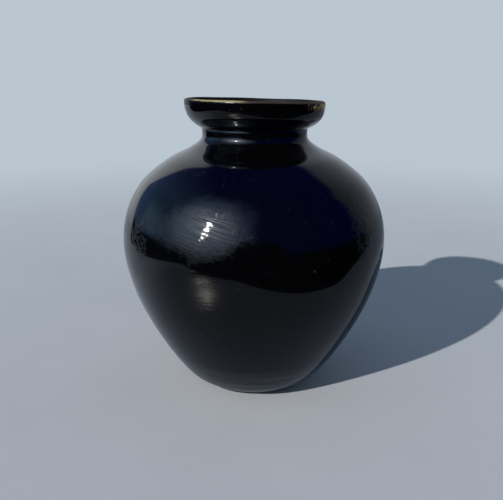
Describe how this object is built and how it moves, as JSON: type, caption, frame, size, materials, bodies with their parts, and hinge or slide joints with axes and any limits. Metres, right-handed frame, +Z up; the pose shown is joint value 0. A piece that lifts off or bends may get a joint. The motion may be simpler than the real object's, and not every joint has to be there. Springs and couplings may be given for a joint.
{
  "type": "clay pot",
  "caption": "Round-bellied black burnished clay pot with a narrow foot, a short neck and a flared cup-shaped mouth with a worn lip.",
  "frame": {"origin": "centre of the foot ring, on the surface that the pot stands on", "axes": "+Z up along the pot's turning axis, from the foot to the mouth; the pot is round, so X and Y are free, and -Y faces the viewer"},
  "size_m": [0.1634, 0.1634, 0.1805],
  "materials": {
    "burnished_black": "polished",
    "worn_lip": "satin",
    "bare_base": "matte"
  },
  "bodies": {
    "root": {"base_pad": "bare_base", "lower_wall": "burnished_black", "shoulder_wall": "burnished_black", "neck_collar": "burnished_black", "mouth_cup": "burnished_black", "lip_coil": "worn_lip"}
  },
  "joints": []
}
